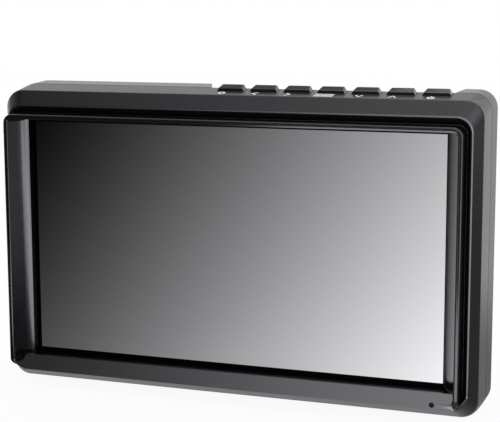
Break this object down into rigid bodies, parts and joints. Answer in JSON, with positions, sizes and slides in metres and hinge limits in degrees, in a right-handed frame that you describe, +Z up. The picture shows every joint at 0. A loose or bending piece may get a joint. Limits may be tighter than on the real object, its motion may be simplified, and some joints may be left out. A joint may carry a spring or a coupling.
{
  "type": "camera field monitor",
  "caption": "Small video monitor with a deep-set wide screen, a stepped rim with a channel for a hood, a row of top keys, side sockets, a tripod socket and a battery plate.",
  "frame": {"origin": "middle of the tripod socket's mouth on the underside, at the seam between the two halves", "axes": "+X to the right seen from the front, +Y from the screen towards the back, +Z up"},
  "size_m": [0.1408, 0.0364, 0.0882],
  "materials": {
    "frame_plastic": "fine satin texture",
    "shell_plastic": "fine satin texture",
    "key_plastic": "satin",
    "screen_glass": "smooth, black printed border",
    "gasket_foam": "foam",
    "panel_layers": "smooth",
    "backlight_plastic": "smooth white",
    "tray_steel": "plain",
    "screw_steel": "plain",
    "black_steel": "blackened",
    "clear_plastic": "clear",
    "led_body": "smooth",
    "board_green": "solder mask",
    "switch_body": "plain",
    "plunger_plastic": "plain",
    "ribbon_film": "film",
    "chip_black": "moulded",
    "pad_rubber": "soft",
    "sink_aluminium": "extruded",
    "socket_plastic": "moulded",
    "socket_steel": "plated",
    "insert_brass": "turned",
    "plate_plastic": "fine texture",
    "contact_brass": "plated",
    "lead_cover": "smooth",
    "latch_plastic": "ribbed",
    "spring_steel": "drawn wire"
  },
  "bodies": {
    "monitor": {"front_frame": "frame_plastic", "display_glass": "screen_glass", "glass_gasket": "gasket_foam", "lcd_panel": "panel_layers", "backlight_unit": "backlight_plastic", "panel_tray": "tray_steel", "tray_screws": "screw_steel", "light_pipe": "clear_plastic", "status_led": "led_body", "key_board": "board_green", "key_switches": "switch_body", "key_board_screws": "screw_steel", "key_ribbon": "ribbon_film", "rear_shell": "shell_plastic", "main_board": "board_green", "board_screws": "screw_steel", "video_chip": "chip_black", "heat_pad": "pad_rubber", "heat_sink": "sink_aluminium", "power_parts": "chip_black", "display_ribbon": "ribbon_film", "power_inlet": "socket_plastic", "video_out_socket": "socket_steel", "video_in_socket": "socket_steel", "service_socket": "socket_steel", "headphone_socket": "socket_plastic", "tripod_insert": "insert_brass", "case_screws": "black_steel", "battery_plate": "plate_plastic", "plate_screws": "screw_steel", "contact_block": "socket_plastic", "battery_contacts": "contact_brass", "battery_wires": "lead_cover", "latch_spring": "spring_steel"},
    "key_function": {"key_function": "key_plastic", "plunger_function": "plunger_plastic"},
    "key_left": {"key_left": "key_plastic", "plunger_left": "plunger_plastic"},
    "key_right": {"key_right": "key_plastic", "plunger_right": "plunger_plastic"},
    "key_menu": {"key_menu": "key_plastic", "plunger_menu": "plunger_plastic"},
    "key_down": {"key_down": "key_plastic", "plunger_down": "plunger_plastic"},
    "key_up": {"key_up": "key_plastic", "plunger_up": "plunger_plastic"},
    "key_power": {"key_power": "key_plastic", "plunger_power": "plunger_plastic"},
    "latch": {"latch_button": "latch_plastic"}
  },
  "joints": [
    {"name": "key_function_press", "type": "slide", "parent": "monitor", "child": "key_function", "axis": [0, 0, -1], "range_m": [0, 0.00035], "stiffness_N_per_m": 4000},
    {"name": "key_left_press", "type": "slide", "parent": "monitor", "child": "key_left", "axis": [0, 0, -1], "range_m": [0, 0.00035], "stiffness_N_per_m": 4000},
    {"name": "key_right_press", "type": "slide", "parent": "monitor", "child": "key_right", "axis": [0, 0, -1], "range_m": [0, 0.00035], "stiffness_N_per_m": 4000},
    {"name": "key_menu_press", "type": "slide", "parent": "monitor", "child": "key_menu", "axis": [0, 0, -1], "range_m": [0, 0.00035], "stiffness_N_per_m": 4000},
    {"name": "key_down_press", "type": "slide", "parent": "monitor", "child": "key_down", "axis": [0, 0, -1], "range_m": [0, 0.00035], "stiffness_N_per_m": 4000},
    {"name": "key_up_press", "type": "slide", "parent": "monitor", "child": "key_up", "axis": [0, 0, -1], "range_m": [0, 0.00035], "stiffness_N_per_m": 4000},
    {"name": "key_power_press", "type": "slide", "parent": "monitor", "child": "key_power", "axis": [0, 0, -1], "range_m": [0, 0.00035], "stiffness_N_per_m": 4000},
    {"name": "latch_press", "type": "slide", "parent": "monitor", "child": "latch", "axis": [0, -1, 0], "range_m": [0, 0.0016], "stiffness_N_per_m": 1200, "deforming": ["latch_spring"]}
  ]
}
